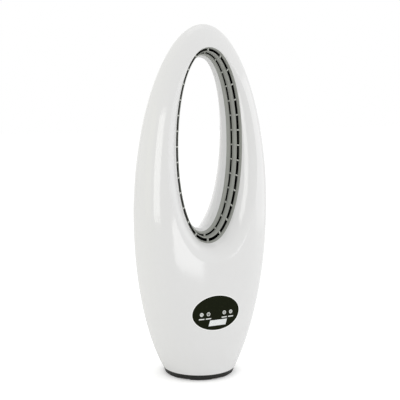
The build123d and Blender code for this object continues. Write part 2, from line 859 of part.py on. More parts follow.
def make_shells():
    wall = white_wall()
    behind = rear_half_space(-parting_gap / 2)
    with BuildPart() as rear_side:
        add(rear_half_space(parting_gap / 2))
        add(lip_zone(0.0))
    with BuildPart() as front:
        add(wall)
        add(behind, mode=Mode.SUBTRACT)
        add(lip_zone(part_gap), mode=Mode.SUBTRACT)
        with BuildSketch(Plane.XZ):
            add(panel_outline(panel_gap))
        extrude(amount=half_width, mode=Mode.SUBTRACT)
        add(rim_flange())
        for x, y in table_screw_spots():
            if y < 0:
                add(table_boss(x, y))
        for x, z in joint_spots:
            add(joint_boss(x, z, -1))
            hole_end = joint_pocket_y - joint_screw_length - 1
            hole = level_rod(joint_screw_radius + screw_bite, x, z, joint_pocket_y, hole_end)
            add(hole, mode=Mode.SUBTRACT)
    keep(front.part, "front_shell")
    with BuildPart() as rear:
        add(wall)
        add(rear_side.part, mode=Mode.INTERSECT)
        with BuildSketch(Plane.XZ):
            add(intake_outline(intake_gap))
        extrude(amount=-half_width, mode=Mode.SUBTRACT)
        for x, y in table_screw_spots():
            if y > 0:
                add(table_boss(x, y))
        for x, z in joint_spots:
            add(joint_boss(x, z, 1))
            add(level_rod(joint_screw_radius + part_gap, x, z, -1, joint_pocket_y), mode=Mode.SUBTRACT)
            add(level_rod(joint_pocket_radius, x, z, joint_pocket_y, half_width), mode=Mode.SUBTRACT)
    keep(rear.part, "rear_shell")
    spots = [Location((x, joint_pocket_y, z), (-90, 0, 0)) for x, z in joint_spots]
    size = (joint_head_radius, joint_head_height, joint_screw_radius, joint_screw_length)
    screw_group("shell_screws", size, spots)


def joint_boss(x, z, side):
    """Boss from the parting line to the shell's wall; side is 1 for the rear shell."""
    start = lean_at(z) + side * parting_gap / 2
    with BuildPart() as boss:
        add(level_rod(joint_boss_radius, x, z, start, side * half_width))
        add(hull(boss_inset), mode=Mode.INTERSECT)
    return boss.part


def rim_flange():
    """Collar behind the rim of the front shell that holds the grey band."""
    with BuildPart() as collar:
        add(band_tube([(-rim_flange_wall, rim_y + 0.3), (-rim_flange_wall, rim_y + rim_flange_length)]))
        add(band_tube([(0, rim_y - 0.2), (0, rim_y + rim_flange_length + 0.2)]), mode=Mode.SUBTRACT)
        add(hull(boss_inset), mode=Mode.INTERSECT)
    return collar.part


# ================================================================ grey outlet band
def rib_turns():
    """Angles on the oval that are equally spaced along it, starting at the top."""
    steps = 1440
    inset = (bevel_inset + vane_outer_inset) / 2
    turns = [pi / 2 + 2 * pi * k / steps for k in range(steps + 1)]
    spots = [power_curve(turn, rim_half_width - inset, rim_half_height - inset) for turn in turns]
    run = [0.0]
    for k in range(steps):
        run.append(run[-1] + hypot(spots[k + 1][0] - spots[k][0], spots[k + 1][1] - spots[k][1]))
    chosen = []
    for rib in range(rib_count):
        goal = run[-1] * rib / rib_count
        chosen.append(turns[min(range(steps), key=lambda k: abs(run[k] - goal))])
    return chosen


def rib_planes(inset_from, inset_to, y):
    planes = []
    for turn in rib_turns():
        start = band_point(inset_from, y, turn)
        end = band_point(inset_to, y, turn)
        planes.append(Plane(origin=(start + end) / 2, x_dir=end - start, z_dir=(0, 1, 0)))
    return planes


def make_rings():
    with BuildPart() as front:
        add(band_tube([(0.15, rim_y + 0.05), (0.15, vane_front_y - 0.1)]))
        add(band_tube([(0.4, rim_y), (bevel_inset, rim_y + bevel_length), (bevel_inset, vane_front_y)]),
            mode=Mode.SUBTRACT)
    vane_inner_front = vane_outer_inset + vane_wall
    with BuildPart() as vane:
        add(band_tube([(vane_outer_inset + 0.4, vane_front_y), (vane_outer_inset, vane_front_y + 0.7),
                       (vane_outer_inset + vane_taper, vane_rear_y)]))
        add(band_tube([(vane_inner_front - 0.4, vane_front_y), (vane_inner_front, vane_front_y + 0.7),
                       (vane_inner_front + vane_taper, vane_rear_y)]), mode=Mode.SUBTRACT)
    rib_y = vane_front_y - 1.0 + rib_depth / 2
    with BuildPart() as ring:
        add(front.part)
        add(vane.part)
        with Locations(*rib_planes(bevel_inset - 0.8, vane_outer_inset + 0.7, rib_y)):
            Box(vane_outer_inset - bevel_inset + 1.5, rib_width, rib_depth)
    keep(ring.part, "outlet_ring_front")
    wall_inset = vane_outer_inset + vane_wall + vane_taper + rear_slot_width
    with BuildPart() as band:
        add(band_tube([(wall_inset, rear_band_front_y), (lip_front_inset - vane_wall, rear_band_rear_y)]))
        add(band_tube([(wall_inset + vane_wall, rear_band_front_y), (lip_front_inset, rear_band_rear_y)]),
            mode=Mode.SUBTRACT)
    rib_y = vane_rear_y - 1.5 + rib_depth / 2
    start = wall_inset - rear_slot_width + 0.1
    with BuildPart() as rear:
        add(band.part)
        with Locations(*rib_planes(start, wall_inset + 0.8, rib_y)):
            Box(rear_slot_width + 0.7, rib_width, rib_depth)
    keep(rear.part, "outlet_ring_rear")


# ================================================================ duct above the blower
def duct_space(inset, low):
    """The tower inside an inset wall that also follows both mouths, above a height."""
    with BuildPart() as space:
        add(tower_space(inset, low, total_height))
        for cutter in front_mouth(inset) + rear_mouth(inset):
            add(cutter, mode=Mode.SUBTRACT)
    return space.part


def make_duct():
    with BuildPart() as lining:
        add(duct_space(duct_inset, duct_floor))
        add(duct_space(duct_inset + duct_wall, duct_floor + duct_floor_thickness), mode=Mode.SUBTRACT)
        mouth = [(-duct_opening, rim_y - 2), (-duct_opening, rim_y + rim_flange_length)]
        add(band_tube(mouth), mode=Mode.SUBTRACT)
        with BuildSketch(Plane.XY.offset(duct_floor)):
            Ellipse(funnel_half_width + funnel_wall + part_gap, funnel_half_depth + funnel_wall + part_gap)
        extrude(amount=duct_floor_thickness, mode=Mode.SUBTRACT)
    keep(lining.part, "loop_duct")


def flange_screw_spots():
    return ring_spots(flange_screw_circle, flange_screw_count, 30)


def make_bulkhead():
    with BuildPart() as plate:
        add(tower_space(bulkhead_inset, housing_top, housing_top + bulkhead_thickness))
        drill(housing_radius + housing_wall, housing_top, housing_top + bulkhead_thickness)
        for x, y in flange_screw_spots():
            drill(ear_screw_radius + screw_bite, housing_top, housing_top + bulkhead_thickness, (x, y))
    keep(plate.part, "bulkhead_plate")
    low = housing_top + bulkhead_thickness
    with BuildPart() as gasket:
        add(disc(flange_radius, low, low + gasket_thickness, housing_radius + housing_wall))
        for x, y in flange_screw_spots():
            drill(ear_screw_radius + screw_bite, low, low + gasket_thickness, (x, y))
    keep(gasket.part, "duct_gasket")


def make_funnel():
    low = housing_top + bulkhead_thickness + gasket_thickness
    with BuildSketch(Plane.XY.offset(low)) as outer_foot:
        Circle(housing_radius + funnel_wall)
    with BuildSketch(Plane.XY.offset(funnel_top)) as outer_head:
        Ellipse(funnel_half_width + funnel_wall, funnel_half_depth + funnel_wall)
    with BuildSketch(Plane.XY.offset(low)) as inner_foot:
        Circle(housing_radius)
    with BuildSketch(Plane.XY.offset(funnel_top)) as inner_head:
        Ellipse(funnel_half_width, funnel_half_depth)
    with BuildPart() as funnel:
        loft(sections=[outer_foot.sketch, outer_head.sketch])
        add(disc(flange_radius, low, low + flange_thickness))
        loft(sections=[inner_foot.sketch, inner_head.sketch], mode=Mode.SUBTRACT)
        for x, y in flange_screw_spots():
            drill(ear_screw_radius + screw_bite, low, low + flange_thickness, (x, y))
    keep(funnel.part, "duct_funnel")
    seat = low + flange_thickness
    spots = [Location((x, y, seat)) for x, y in flange_screw_spots()]
    screw_group("blower_screws", (2.6, 1.5, ear_screw_radius, seat - housing_top + 1.6), spots)


# ================================================================ blower
def make_housing():
    outer = housing_radius + housing_wall
    lip = housing_radius + bell_flare
    bell_top = housing_bottom + bell_flare
    bend = bell_flare * (1 - cos(radians(45)))
    inner_bend = (bell_flare - housing_wall) * (1 - cos(radians(45)))
    inner_low = housing_bottom + housing_wall
    with BuildPart() as housing:
        with BuildSketch(Plane.XZ):
            with BuildLine():
                Line((housing_radius, housing_top), (housing_radius, bell_top))
                ThreePointArc((housing_radius, bell_top), (housing_radius + bend, housing_bottom + bend),
                              (lip, housing_bottom))
                Line((lip, housing_bottom), (lip, inner_low))
                bend_point = (outer + inner_bend, inner_low + inner_bend)
                ThreePointArc((lip, inner_low), bend_point, (outer, bell_top))
                Polyline((outer, bell_top), (outer, housing_top - flange_thickness),
                         (flange_radius, housing_top - flange_thickness), (flange_radius, housing_top),
                         (housing_radius, housing_top))
            make_face()
        revolve(axis=Axis.Z)
        for x, y in flange_screw_spots():
            drill(ear_screw_radius + screw_bite, housing_top - flange_thickness, housing_top, (x, y))
    keep(housing.part, "blower_housing")


def make_impeller():
    tip = housing_radius - impeller_tip_gap
    middle = (impeller_bottom + impeller_top) / 2
    sections = []
    for radius, pitch in ((10, blade_hub_pitch), ((10 + tip) / 2, (blade_hub_pitch + blade_tip_pitch) / 2),
                          (tip + 2, blade_tip_pitch)):
        with BuildSketch(Plane(origin=(radius, 0, middle), x_dir=(0, 1, 0), z_dir=(1, 0, 0))) as section:
            RectangleRounded(blade_chord, blade_thickness, blade_thickness * 0.48, rotation=pitch)
        sections.append(section.sketch)
    with BuildPart() as blade:
        loft(sections=sections)
    with BuildPart() as impeller:
        with PolarLocations(0, impeller_blades):
            add(blade.part)
        add(disc(tip, impeller_bottom, impeller_top), mode=Mode.INTERSECT)
        with BuildSketch(Plane.XZ):
            with BuildLine():
                Polyline((0, impeller_bottom), (hub_bottom_radius - 3, impeller_bottom),
                         (hub_bottom_radius, impeller_bottom + 3), (hub_top_radius, impeller_top),
                         (0, impeller_top), close=True)
            make_face()
        revolve(axis=Axis.Z)
        drill(shaft_radius, impeller_bottom, impeller_top)
    keep(impeller.part, "impeller")
    with BuildPart() as nut:
        with BuildSketch(Plane.XY.offset(impeller_bottom - 4)):
            RegularPolygon(radius=4.4, side_count=6)
            Circle(shaft_radius, mode=Mode.SUBTRACT)
        extrude(amount=4)
    keep(nut.part, "impeller_nut")
    keep(disc(shaft_radius, impeller_bottom - 5, motor_top + 2), "motor_shaft")


def make_guide_vanes():
    ring_outer = housing_radius - 0.1
    hub_inner = motor_radius + damper_thickness
    span = ring_outer - hub_inner - stator_wall
    with BuildPart() as stator:
        add(disc(ring_outer, stator_bottom, stator_top, ring_outer - stator_wall))
        add(disc(hub_inner + stator_wall, stator_bottom, stator_top, hub_inner))
        with PolarLocations((ring_outer + hub_inner) / 2, stator_vanes):
            with Locations((0, 0, (stator_bottom + stator_top) / 2)):
                Box(span, stator_wall, stator_top - stator_bottom - 4, rotation=(20, 0, 0))
    keep(stator.part, "guide_vanes")


def make_motor():
    with BuildPart() as can:
        add(disc(motor_radius, motor_bottom, motor_top))
        drill(motor_radius - motor_wall, motor_bottom + motor_wall, motor_top - motor_wall)
        drill(2 * shaft_radius, motor_bottom, motor_top)
    keep(can.part, "motor_can")
    with BuildPart() as bearings:
        for low in (motor_bottom, motor_top - 3):
            add(disc(2 * shaft_radius, low, low + 3, shaft_radius + 0.05))
    keep(bearings.part, "motor_bearings")
    with BuildPart() as dampers:
        for low in (motor_bottom + 2.5, motor_top - 6.5):
            add(disc(motor_radius + damper_thickness, low, low + 4, motor_radius))
    keep(dampers.part, "motor_dampers")
    low = motor_bottom + 4
    high = motor_top - 4
    core = motor_radius - motor_wall
    with BuildPart() as stator:
        add(disc(core, low, high, core - 2.4))
        with PolarLocations((core + rotor_radius + rotor_gap) / 2, 9):
            with Locations((0, 0, (low + high) / 2)):
                Box(core - rotor_radius - rotor_gap - 0.6, 2.6, high - low)
                Box(2.4, 5.0, high - low + 1.6)
        drill(rotor_radius + rotor_gap, motor_bottom, motor_top)
    keep(stator.part, "motor_windings")
    keep(disc(rotor_radius, low + 0.5, high - 0.5, shaft_radius), "motor_rotor")
    dome = hub_dome()
    keep(dome, "motor_cover")


def hub_dome():
    """Smooth cap over the motor, with a spigot in the guide vanes' hub."""
    outer = motor_radius + damper_thickness + stator_wall
    rise = cone_top - stator_top
    radius = (outer * outer + rise * rise) / (2 * rise)
    centre = cone_top - radius
    inner = radius - stator_wall
    spigot = motor_radius + damper_thickness - 0.05
    mouth = spigot - stator_wall
    slant = sqrt(0.5)
    with BuildPart() as dome:
        with BuildSketch(Plane.XZ):
            with BuildLine():
                ThreePointArc((0, cone_top), (radius * slant, centre + radius * slant), (outer, stator_top))
                Polyline((outer, stator_top), (spigot, stator_top), (spigot, motor_top + 0.5),
                         (mouth, motor_top + 0.5), (mouth, centre + sqrt(inner * inner - mouth * mouth)))
                ThreePointArc((mouth, centre + sqrt(inner * inner - mouth * mouth)),
                              (inner * slant, centre + inner * slant), (0, centre + inner))
                Line((0, centre + inner), (0, cone_top))
            make_face()
        revolve(axis=Axis.Z)
    return dome.part


# ================================================================ air intake
def intake_slots():
    columns = (intake_width - 2 * intake_frame + intake_bar) / 3
    rows = int((intake_tall - 2 * intake_frame + intake_bar) / (intake_bar + intake_slot))
    with BuildSketch() as slots:
        with Locations((0, intake_height)):
            with GridLocations(columns, intake_bar + intake_slot, 3, rows):
                SlotOverall(columns - intake_bar, intake_slot)
        add(intake_outline(-intake_frame), mode=Mode.INTERSECT)
    return slots.sketch


def make_intake():
    with BuildPart() as grille:
        add(skin_piece(0.0, shell_wall, intake_outline(0), 1))
        with BuildSketch(Plane.XZ):
            add(intake_slots())
        extrude(amount=-half_width, mode=Mode.SUBTRACT)
    keep(grille.part, "intake_grille")
    filter_mat = skin_piece(filter_inset, filter_inset + filter_thickness, intake_outline(3), 1)
    keep(filter_mat, "intake_filter")


# ================================================================ control panel
def make_panel():
    keep(skin_piece(0.0, shell_wall, panel_outline(0), -1), "touch_panel")
    corners = [(x, z) for x in (-tray_post_x, tray_post_x) for z in (-tray_post_z, tray_post_z)]
    post_spots = [(x, panel_height + z) for x, z in corners]
    with BuildPart() as tray:
        add(skin_piece(tray_inset, tray_inset + tray_wall, panel_outline(tray_overlap), -1))
        for x, z in post_spots:
            add(panel_rod(board_post_radius, x, z, control_board_y, tray_inset))
            add(level_rod(ear_screw_radius + screw_bite, x, z, control_board_y, control_board_y - 2),
                mode=Mode.SUBTRACT)
    keep(tray.part, "panel_tray")
    with BuildPart() as board:
        with BuildSketch(Plane.XZ.offset(-control_board_y)):
            with Locations((0, panel_height)):
                RectangleRounded(2 * control_board_half_width, 2 * control_board_half_height, 3)
            with Locations(*post_spots):
                Circle(ear_screw_radius + screw_bite, mode=Mode.SUBTRACT)
        extrude(amount=-board_thickness)
    keep(board.part, "control_board")
    with BuildPart() as pads:
        key_height = panel_height - touch_key_drop
        for x in touch_key_spots:
            add(panel_rod(touch_pad_radius, x, key_height, control_board_y, tray_inset + tray_wall))
    keep(pads.part, "touch_pads")
    with BuildPart() as lamps:
        with Locations(*[(x, control_board_y - 0.4, panel_height - 8) for x in touch_key_spots]):
            Box(3.2, 0.8, 1.6)
    keep(lamps.part, "indicator_leds")
    with BuildPart() as chips:
        with Locations((0, control_board_y + board_thickness + 0.8, panel_height)):
            Box(10, 1.6, 10)
        with Locations((18, control_board_y + board_thickness + 2.5, panel_height + 2)):
            Box(12, 5, 7)
    keep(chips.part, "control_chips")
    with BuildPart() as receiver:
        with Locations((0, control_board_y - 1.2, panel_height + 12)):
            Box(5.6, 2.4, 6)
    keep(receiver.part, "remote_receiver")
    back = control_board_y + board_thickness
    spots = [Location((x, back, z), (-90, 0, 0)) for x, z in post_spots]
    screw_group("control_board_screws", (2.2, 1.4, ear_screw_radius, 3.2), spots)
    with BuildSketch() as blank:
        with Locations((badge_x, badge_height)):
            Polygon((-badge_half_length - badge_slant / 2, -badge_half_height),
                    (badge_half_length - badge_slant / 2, -badge_half_height),
                    (badge_half_length + badge_slant / 2, badge_half_height),
                    (-badge_half_length + badge_slant / 2, badge_half_height))
    keep(skin_piece(-badge_thickness, 0.0, blank.sketch, -1), "blank_badge")


def panel_rod(radius, x, z, y, inset):
    """Rod from the control board forward to an inset of the tower's wall."""
    with BuildPart() as rod:
        add(level_rod(radius, x, z, y, -half_width))
        add(hull(inset), mode=Mode.INTERSECT)
    return rod.part


make_base_plate()
make_feet()
make_ballast()
make_base_cover()
make_gland()
make_swivel()
make_turntable()
make_swing_drive()
board_parts()
make_shells()
make_rings()
make_duct()
make_bulkhead()
make_funnel()
make_housing()
make_impeller()
make_guide_vanes()
make_motor()
make_intake()
make_panel()
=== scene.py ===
import json
import math

import bpy
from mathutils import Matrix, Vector
from mathutils.bvhtree import BVHTree


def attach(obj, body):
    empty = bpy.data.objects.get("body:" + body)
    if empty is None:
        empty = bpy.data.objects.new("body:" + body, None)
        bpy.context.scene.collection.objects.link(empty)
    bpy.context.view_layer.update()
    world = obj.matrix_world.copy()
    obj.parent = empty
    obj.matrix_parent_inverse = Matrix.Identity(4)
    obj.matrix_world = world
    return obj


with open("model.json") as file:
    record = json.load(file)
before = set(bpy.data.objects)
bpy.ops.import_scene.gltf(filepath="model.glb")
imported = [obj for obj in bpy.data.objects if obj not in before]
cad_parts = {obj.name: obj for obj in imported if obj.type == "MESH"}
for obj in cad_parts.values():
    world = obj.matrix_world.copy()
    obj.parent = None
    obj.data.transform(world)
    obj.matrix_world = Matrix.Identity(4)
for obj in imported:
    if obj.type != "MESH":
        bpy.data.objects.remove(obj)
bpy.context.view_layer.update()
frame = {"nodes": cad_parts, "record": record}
nodes = frame["nodes"]
record = frame["record"]


# ---------------------------------------------------------------- camera
VIEW_TURN = math.radians(26.0)        # the camera stands this far to the viewer's left of the front
VIEW_DROP = 0.121264                  # and looks down by this angle
VIEW_REACH = 1.49145                  # level distance to the swing axis
VIEW_HEIGHT = 0.48412
SENSOR_WIDTH = 36.0                   # millimetres, as the lens is
LENS_PIXELS = 869.53                  # focal length over one pixel of the square frame
FRAME_PIXELS = 400
CENTRE_PIXELS = 199.0                 # where the view's axis lies across the frame
CLIP_START = 0.05
CLIP_END = 50.0

camera_data = bpy.data.cameras.new("camera")
camera = bpy.data.objects.new("camera", camera_data)
bpy.context.scene.collection.objects.link(camera)
camera.location = (-VIEW_REACH * math.sin(VIEW_TURN), -VIEW_REACH * math.cos(VIEW_TURN), VIEW_HEIGHT)
camera.rotation_euler = (math.pi / 2 - VIEW_DROP, 0, -VIEW_TURN)
camera_data.sensor_width = SENSOR_WIDTH
camera_data.lens = SENSOR_WIDTH * LENS_PIXELS / FRAME_PIXELS
camera_data.shift_x = (FRAME_PIXELS / 2 - CENTRE_PIXELS) / FRAME_PIXELS
camera_data.clip_start = CLIP_START
camera_data.clip_end = CLIP_END
bpy.context.scene.camera = camera


# ---------------------------------------------------------------- material helpers
MIX_LOW_COLOUR = 6                    # a Mix node's colour sockets share their names with others
MIX_HIGH_COLOUR = 7
MIX_COLOUR_OUT = 2
PLASTIC_IOR = 1.5
COAT_ROUGHNESS = 0.04
METAL_GRAIN_DEPTH = 0.00002
METAL_GRAIN_STRENGTH = 0.15
METAL_ROUGH_RANGE = (0.75, 1.3)       # shares of the metal's roughness along its grain
SHEEN_FINENESS = 3                    # patches of sheen to one patch of tone


def new_material(name):
    """An empty material, its shader and the place in the object that its textures read."""
    material = bpy.data.materials.new(name)
    material.use_nodes = True
    tree = material.node_tree
    tree.nodes.clear()
    output = tree.nodes.new("ShaderNodeOutputMaterial")
    shader = tree.nodes.new("ShaderNodeBsdfPrincipled")
    tree.links.new(shader.outputs["BSDF"], output.inputs["Surface"])
    place = tree.nodes.new("ShaderNodeTexCoord")
    return material, tree, shader, place.outputs["Object"]


def noise(tree, place, scale, detail, rough=0.5, stretch=None):
    if stretch:
        mapping = tree.nodes.new("ShaderNodeMapping")
        mapping.inputs["Scale"].default_value = stretch
        tree.links.new(place, mapping.inputs["Vector"])
        place = mapping.outputs["Vector"]
    texture = tree.nodes.new("ShaderNodeTexNoise")
    texture.inputs["Scale"].default_value = scale
    texture.inputs["Detail"].default_value = detail
    texture.inputs["Roughness"].default_value = rough
    tree.links.new(place, texture.inputs["Vector"])
    return texture.outputs["Fac"]


def spread(tree, value, low, high):
    """Turns a value from 0 to 1 into one from low to high."""
    span = tree.nodes.new("ShaderNodeMapRange")
    span.inputs["To Min"].default_value = low
    span.inputs["To Max"].default_value = high
    tree.links.new(value, span.inputs["Value"])
    return span.outputs["Result"]


def mix_colour(tree, factor, low, high):
    """Blends from the low colour to the high one."""
    mix = tree.nodes.new("ShaderNodeMix")
    mix.data_type = "RGBA"
    tree.links.new(factor, mix.inputs["Factor"])
    mix.inputs[MIX_LOW_COLOUR].default_value = (*low, 1)
    mix.inputs[MIX_HIGH_COLOUR].default_value = (*high, 1)
    return mix.outputs[MIX_COLOUR_OUT]


def add_bump(tree, shader, heights, distance, strength):
    bump = tree.nodes.new("ShaderNodeBump")
    bump.inputs["Distance"].default_value = distance
    bump.inputs["Strength"].default_value = strength
    tree.links.new(heights, bump.inputs["Height"])
    tree.links.new(bump.outputs["Normal"], shader.inputs["Normal"])


def plastic(name, colour, rough, shift=0.03, rough_shift=0.05, grain=900.0, grain_depth=0.00002, coat=0.0,
            patch=14.0, strength=0.25, shine=0.5):
    """Moulded plastic: faint patches of tone and sheen, and a fine moulded grain."""
    material, tree, shader, place = new_material(name)
    low = tuple(c * (1 - shift) for c in colour)
    high = tuple(min(1.0, c * (1 + shift)) for c in colour)
    tone = noise(tree, place, patch, detail=3.0)
    tree.links.new(mix_colour(tree, tone, low, high), shader.inputs["Base Color"])
    sheen = noise(tree, place, patch * SHEEN_FINENESS, detail=4.0, rough=0.6)
    rough_range = spread(tree, sheen, rough - rough_shift, rough + rough_shift)
    tree.links.new(rough_range, shader.inputs["Roughness"])
    add_bump(tree, shader, noise(tree, place, grain, detail=3.0), grain_depth, strength)
    shader.inputs["IOR"].default_value = PLASTIC_IOR
    shader.inputs["Specular IOR Level"].default_value = shine
    shader.inputs["Coat Weight"].default_value = coat
    shader.inputs["Coat Roughness"].default_value = COAT_ROUGHNESS
    return material


def metal(name, colour, rough, stretch=(1, 1, 30), grain=260.0, shift=0.08):
    """Metal with a drawn or turned grain."""
    material, tree, shader, place = new_material(name)
    low = tuple(c * (1 - shift) for c in colour)
    high = tuple(min(1.0, c * (1 + shift)) for c in colour)
    streak = noise(tree, place, grain, detail=4.0, rough=0.6, stretch=stretch)
    tree.links.new(mix_colour(tree, streak, low, high), shader.inputs["Base Color"])
    rough_range = spread(tree, streak, *(rough * share for share in METAL_ROUGH_RANGE))
    tree.links.new(rough_range, shader.inputs["Roughness"])
    add_bump(tree, shader, streak, METAL_GRAIN_DEPTH, METAL_GRAIN_STRENGTH)
    shader.inputs["Metallic"].default_value = 1.0
    return material


# ---------------------------------------------------------------- the nodes' materials
WHITE = (0.806, 0.806, 0.805)
BAND_GREY = (0.34, 0.35, 0.32)
PANEL_BLACK = (0.0092, 0.0116, 0.0042)
materials = {
    "white_gloss": plastic("white_gloss", WHITE, 0.11, shift=0.008, rough_shift=0.02, grain=500.0,
                           grain_depth=0.000003, patch=8.0, strength=0.1),
    "grey_band": plastic("grey_band", BAND_GREY, 0.42, shift=0.05),
    "black_gloss": plastic("black_gloss", PANEL_BLACK, 0.10, shift=0.1, rough_shift=0.03,
                           grain_depth=0.000004, shine=0.05),
    "black_matte": plastic("black_matte", (0.017, 0.017, 0.015), 0.5, shift=0.12, shine=0.3),
    # near-black duct: painted shade inside the loop, so the slots look black
    "duct_painted_shade": plastic("duct_painted_shade", (0.002, 0.002, 0.002), 0.6, shift=0.2, shine=0.03),
    "rubber": plastic("rubber", (0.018, 0.018, 0.018), 0.75, shift=0.15, grain=1400.0, grain_depth=0.00006),
    "steel": metal("steel", (0.60, 0.60, 0.59), 0.30),
    "screw_steel": metal("screw_steel", (0.50, 0.50, 0.50), 0.28, stretch=(1, 1, 4), grain=900.0),
    "badge_silver": metal("badge_silver", (0.78, 0.80, 0.80), 0.24, stretch=(1, 1, 14), grain=500.0,
                          shift=0.05),
    "acetal": plastic("acetal", (0.75, 0.74, 0.69), 0.38),
    "grey_plastic": plastic("grey_plastic", (0.11, 0.115, 0.12), 0.45),
    "board_green": plastic("board_green", (0.02, 0.12, 0.05), 0.32, shift=0.2, patch=160.0),
    "components": plastic("components", (0.03, 0.03, 0.04), 0.35, shift=0.2, patch=120.0),
    "filter": plastic("filter", (0.045, 0.045, 0.045), 0.9, shift=0.4, grain=1800.0, grain_depth=0.0006,
                      patch=700.0, strength=0.8),
    "copper": metal("copper", (0.72, 0.34, 0.16), 0.35, stretch=(1, 1, 18), grain=420.0, shift=0.2),
    "led": plastic("led", (0.8, 0.85, 0.9), 0.12, coat=0.5),
}
PAINTED_SHADE_LOOKS = {"loop_duct": "duct_painted_shade"}    # a node finished near-black instead of as its slot is: painted shade deep in the band's slots
for row in record["subparts"]:
    node = nodes[row["node"]]
    look = materials[PAINTED_SHADE_LOOKS.get(row["node"], row["material_slot"])]
    for slot in node.material_slots:
        slot.material = look
    if not node.material_slots:
        node.data.materials.append(look)


# ---------------------------------------------------------------- thin pieces laid on a surface
AHEAD_OF_FAN = -0.3                   # rays start here on their way back to a surface
SHELL_FRONT = -0.066                  # about where the panel lies, for points that a ray misses
BACKWARDS = Vector((0, 1, 0))


def on_surface(x, z, proud, under):
    """Point proud of a surface, where (x, z) meets it from the front."""
    hit, normal, _, _ = under.ray_cast(Vector((x, AHEAD_OF_FAN, z)), BACKWARDS)
    if hit is None:
        hit, normal, _, _ = under.find_nearest(Vector((x, SHELL_FRONT, z)))
    if normal.y > 0:
        normal = -normal
    return hit + normal * proud


def ribbon(lines, width, proud, sunk, under):
    """Vertices and faces of flat strokes laid on a surface along 2-D lines; each is (points, closed)."""
    verts, faces = [], []
    for points, closed in lines:
        count = len(points)
        first = len(verts)
        for k in range(count):
            before = points[(k - 1) % count] if closed or k else points[k]
            after = points[(k + 1) % count] if closed or k < count - 1 else points[k]
            run = Vector((after[0] - before[0], after[1] - before[1])).normalized()
            side = Vector((-run.y, run.x)) * width / 2
            for sign in (1, -1):
                x = points[k][0] + sign * side.x
                z = points[k][1] + sign * side.y
                verts.append(on_surface(x, z, proud, under))
                verts.append(on_surface(x, z, -sunk, under))
        steps = count if closed else count - 1
        for k in range(steps):
            a = first + 4 * k
            b = first + 4 * ((k + 1) % count)
            faces += [(a, b, b + 2, a + 2), (a + 1, a + 3, b + 3, b + 1), (a, a + 1, b + 1, b),
                      (a + 2, b + 2, b + 3, a + 3)]
        if not closed:
            last = first + 4 * (count - 1)
            faces += [(first, first + 2, first + 3, first + 1), (last, last + 1, last + 3, last + 2)]
    return verts, faces


def add_mesh(name, verts, faces, material, body):
    mesh = bpy.data.meshes.new(name)
    mesh.from_pydata([tuple(v) for v in verts], [], faces)
    mesh.validate()
    mesh.update()
    piece = bpy.data.objects.new(name, mesh)
    bpy.context.scene.collection.objects.link(piece)
    mesh.materials.append(material)
    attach(piece, body)


def arc(x, z, radius, start, end, steps):
    """Points round (x, z), between two angles in degrees."""
    turns = [math.radians(start + (end - start) * k / steps) for k in range(steps + 1)]
    return [(x + radius * math.cos(t), z + radius * math.sin(t)) for t in turns]


def ring_line(x, z, radius, steps=36):
    """A closed round line, as ribbon takes it."""
    return arc(x, z, radius, 0, 360 - 360 / steps, steps - 1), True


def line(x0, z0, x1, z1, steps=4):
    """An open straight line, as ribbon takes it."""
    return [(x0 + (x1 - x0) * k / steps, z0 + (z1 - z0) * k / steps) for k in range(steps + 1)], False


# ---------------------------------------------------------------- touch panel print
lens = nodes["touch_panel"]
lens_tree = BVHTree.FromObject(lens, bpy.context.evaluated_depsgraph_get())
lens_corners = [lens.matrix_world @ Vector(corner) for corner in lens.bound_box]
lens_low = min(corner.z for corner in lens_corners)
lens_high = max(corner.z for corner in lens_corners)
PANEL_HEIGHT = (lens_low + lens_high) / 2      # where the panel's middle lies
PANEL_HALF_WIDTH = max(corner.x for corner in lens_corners)
PANEL_HALF_HEIGHT = (lens_high - lens_low) / 2

PRINT_WHITE = plastic("print_white", (0.78, 0.79, 0.77), 0.4, shift=0.05, patch=400.0)
PRINT_PROUD = 0.00005
PRINT_SUNK = 0.00005
ICON_RADIUS = 0.0027
ICON_STROKE = 0.0011
INNER_STROKE = 0.65 * ICON_STROKE
KEY_SPOTS = (-0.0274, -0.0149, 0.0149, 0.0274)
KEY_DROP = 0.0008                     # the keys lie this far below the panel's middle
KEY_HEIGHT = PANEL_HEIGHT - KEY_DROP
LABEL_DROP = 0.0080
LABEL_WIDTH = 0.0098
LABEL_THICKNESS = 0.0018
LABEL_STEPS = 10
BLADE_COUNT = 4
BLADE_TURN = 20                       # degrees that the small fan symbol is turned
BLADE_REACH = 0.0009
BLADE_RADIUS = 0.0008
BLADE_ARC = (-150, 60)                # degrees that each blade runs, from the way it points
BLADE_STEPS = 10
LONG_HAND = 0.0018
SHORT_HAND = (0.0014, -0.0007)
MODE_RADIUS = 0.0010
POWER_RADIUS = 0.0014
POWER_MARK = (-0.0003, 0.0020)        # how far the mark reaches below and above the middle
POWER_ARC = (130, 410)                # degrees between which the power symbol's ring runs
POWER_STEPS = 20


def icon_fan(x, z):
    blades = []
    for blade in range(BLADE_COUNT):
        turn = 360 / BLADE_COUNT * blade + BLADE_TURN
        centre_x = x + BLADE_REACH * math.cos(math.radians(turn))
        centre_z = z + BLADE_REACH * math.sin(math.radians(turn))
        start = turn + BLADE_ARC[0]
        end = turn + BLADE_ARC[1]
        blades.append((arc(centre_x, centre_z, BLADE_RADIUS, start, end, BLADE_STEPS), False))
    return blades


def icon_clock(x, z):
    return [line(x, z, x, z + LONG_HAND), line(x, z, x + SHORT_HAND[0], z + SHORT_HAND[1])]


def icon_mode(x, z):
    return [ring_line(x, z, MODE_RADIUS)]


def icon_power(x, z):
    mark = line(x, z + POWER_MARK[0], x, z + POWER_MARK[1])
    return [mark, (arc(x, z, POWER_RADIUS, *POWER_ARC, POWER_STEPS), False)]


def print_strokes(lines, width):
    return ribbon(lines, width, PRINT_PROUD, PRINT_SUNK, lens_tree)


